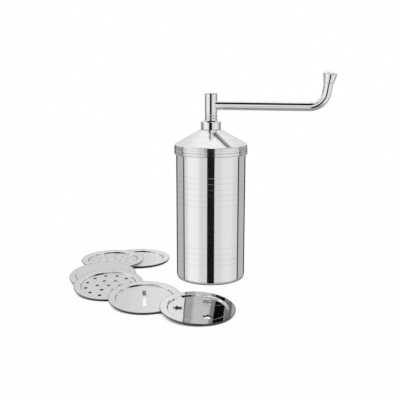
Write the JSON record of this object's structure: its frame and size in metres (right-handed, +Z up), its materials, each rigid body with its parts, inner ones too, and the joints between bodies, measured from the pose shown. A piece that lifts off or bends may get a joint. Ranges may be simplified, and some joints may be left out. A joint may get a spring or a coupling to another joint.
{
  "type": "sevai maker",
  "caption": "Hand-cranked stainless steel noodle press: upright barrel, cone lid with screw crank, and loose perforated die plates fanned beside it.",
  "frame": {"origin": "centre of the outlet in the barrel's foot, on the plane that the press stands on", "axes": "+Z up along the barrel and spindle, +X towards the crank's grip (the arm lies 12 degrees in front of +X at rest), -Y to the front, where the die plates lie"},
  "size_m": [0.2721, 0.2346, 0.2158],
  "materials": {
    "barrel_steel": "polished stainless sheet, finely turned lengthways sheen",
    "lid_steel": "spun stainless sheet with faint spinning rings",
    "bright_steel": "bright polished stainless",
    "turned_steel": "turned stainless",
    "spindle_steel": "cut thread, lightly greased",
    "washer_brass": "plain brass",
    "plate_steel": "pressed stainless sheet",
    "mirror_steel": "mirror polished stainless"
  },
  "bodies": {
    "barrel": {"barrel": "barrel_steel"},
    "lid": {"lid_cone": "lid_steel", "lid_bush": "bright_steel", "backing_washer": "turned_steel", "bush_lock_nut": "turned_steel"},
    "plunger": {"pressing_disc": "barrel_steel", "disc_boss": "turned_steel", "disc_rivets": "turned_steel", "thrust_washer": "washer_brass"},
    "crank": {"spindle": "spindle_steel", "crank_hub": "bright_steel", "crank_arm": "bright_steel", "grip_cap": "bright_steel", "retaining_nut": "turned_steel"},
    "fine_plate": {"fine_hole_plate": "plate_steel"},
    "small_plate": {"small_hole_plate": "plate_steel"},
    "blank_plate_loose": {"blank_plate": "plate_steel"},
    "large_plate": {"large_hole_plate": "plate_steel"},
    "ribbon_plate_loose": {"ribbon_plate": "plate_steel"},
    "star_plate_loose": {"star_plate": "mirror_steel"}
  },
  "joints": [
    {"name": "lid_lift", "type": "slide", "parent": "barrel", "child": "lid", "axis": [0, 0, 1], "range_m": [0, 0.16]},
    {"name": "disc_travel", "type": "slide", "parent": "lid", "child": "plunger", "axis": [0, 0, 1], "range_m": [0, 0.12]},
    {"name": "crank_turn", "type": "hinge", "parent": "plunger", "child": "crank", "pos_m": [0, 0, 0.1], "axis": [0, 0, 1], "range_deg": [0, 10800]},
    {"name": "lift_fine_plate", "type": "slide", "parent": "barrel", "child": "fine_plate", "axis": [0, 0, 1], "range_m": [0, 0.025]},
    {"name": "lift_small_plate", "type": "slide", "parent": "fine_plate", "child": "small_plate", "axis": [0, 0, 1], "range_m": [0, 0.025]},
    {"name": "lift_blank_plate", "type": "slide", "parent": "small_plate", "child": "blank_plate_loose", "axis": [0, 0, 1], "range_m": [0, 0.025]},
    {"name": "lift_large_plate", "type": "slide", "parent": "blank_plate_loose", "child": "large_plate", "axis": [0, 0, 1], "range_m": [0, 0.025]},
    {"name": "lift_ribbon_plate", "type": "slide", "parent": "large_plate", "child": "ribbon_plate_loose", "axis": [0, 0, 1], "range_m": [0, 0.025]},
    {"name": "lift_star_plate", "type": "slide", "parent": "ribbon_plate_loose", "child": "star_plate_loose", "axis": [0, 0, 1], "range_m": [0, 0.025]}
  ],
  "couplings": [
    {"joint": "disc_travel", "follows": "crank_turn", "m_per_rad": 0.00063662}
  ]
}
